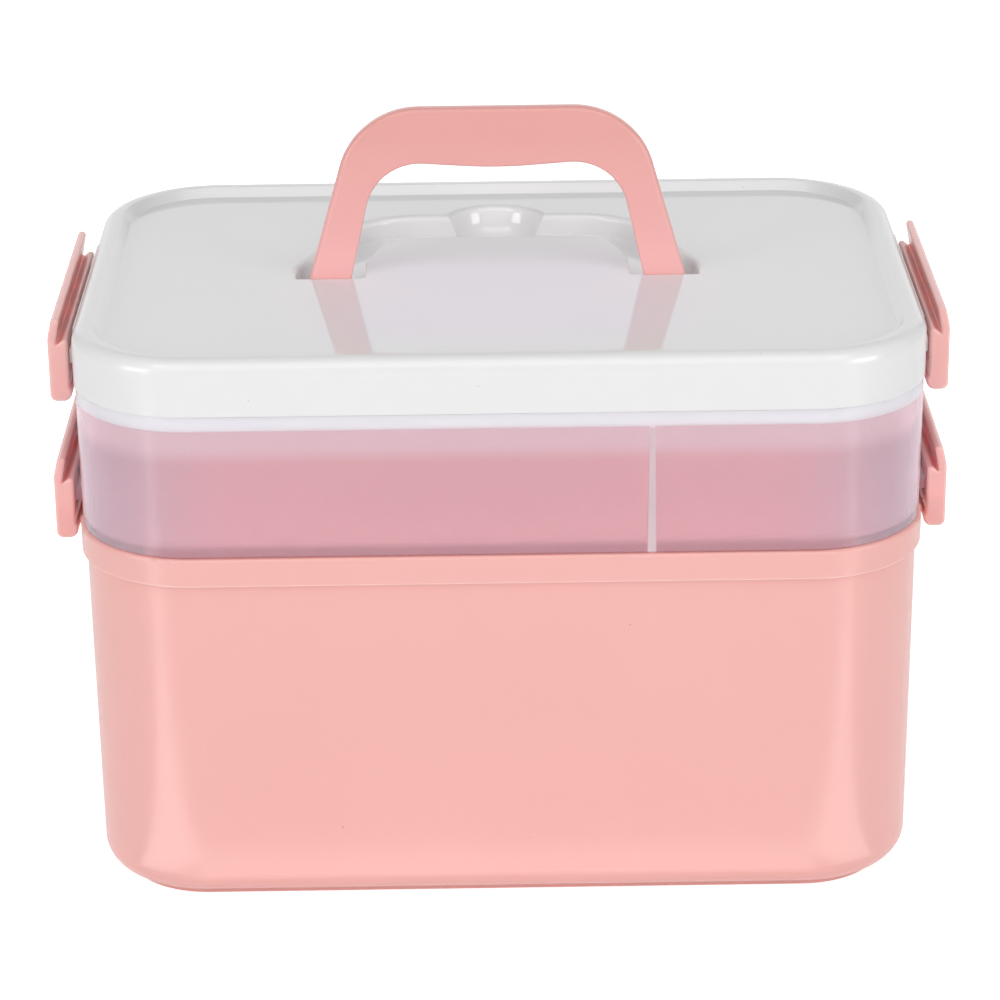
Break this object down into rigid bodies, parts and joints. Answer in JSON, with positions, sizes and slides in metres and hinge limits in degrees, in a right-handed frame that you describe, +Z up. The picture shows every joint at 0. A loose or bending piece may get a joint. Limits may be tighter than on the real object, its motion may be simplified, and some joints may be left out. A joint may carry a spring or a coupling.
{
  "type": "carry case with lift-out tray",
  "caption": "Rounded two-tier plastic carry case: deep bin, translucent lift-out tray, lift-off lid with a folding handle, and side snap latches.",
  "frame": {"origin": "middle of the bin's foot ring, on the surface it stands on", "axes": "+X to the right-hand latches, +Y to the back, where the handle folds to, +Z up"},
  "size_m": [0.3218, 0.2086, 0.2692],
  "materials": {
    "bin_plastic": "moulded polypropylene, soft gloss",
    "tray_plastic": "natural translucent polypropylene, gloss",
    "lid_plastic": "white moulded polypropylene, gloss",
    "handle_plastic": "moulded polypropylene, soft gloss",
    "latch_plastic": "moulded polypropylene, soft gloss"
  },
  "bodies": {
    "bin": {"base_bin": "bin_plastic"},
    "tray": {"middle_tray": "tray_plastic"},
    "lid": {"lid": "lid_plastic"},
    "handle": {"handle": "handle_plastic"},
    "latch_upper_right": {"upper_right_latch": "latch_plastic"},
    "latch_upper_left": {"upper_left_latch": "latch_plastic"},
    "latch_lower_right": {"lower_right_latch": "latch_plastic"},
    "latch_lower_left": {"lower_left_latch": "latch_plastic"}
  },
  "joints": [
    {"name": "tray_lift", "type": "slide", "parent": "bin", "child": "tray", "axis": [0, 0, 1], "range_m": [0, 0.06]},
    {"name": "lid_lift", "type": "slide", "parent": "tray", "child": "lid", "axis": [0, 0, 1], "range_m": [0, 0.06]},
    {"name": "handle_fold", "type": "hinge", "parent": "lid", "child": "handle", "pos_m": [0, -0.004, 0.2012], "axis": [-1, 0, 0], "range_deg": [0, 90]},
    {"name": "upper_right_snap", "type": "hinge", "parent": "lid", "child": "latch_upper_right", "pos_m": [0.1549, 0, 0.1948], "axis": [0, -1, 0], "range_deg": [0, 28]},
    {"name": "upper_left_snap", "type": "hinge", "parent": "lid", "child": "latch_upper_left", "pos_m": [-0.1549, 0, 0.1948], "axis": [0, 1, 0], "range_deg": [0, 28]},
    {"name": "lower_right_snap", "type": "hinge", "parent": "tray", "child": "latch_lower_right", "pos_m": [0.1556, 0, 0.142], "axis": [0, -1, 0], "range_deg": [0, 28]},
    {"name": "lower_left_snap", "type": "hinge", "parent": "tray", "child": "latch_lower_left", "pos_m": [-0.1556, 0, 0.142], "axis": [0, 1, 0], "range_deg": [0, 28]}
  ]
}
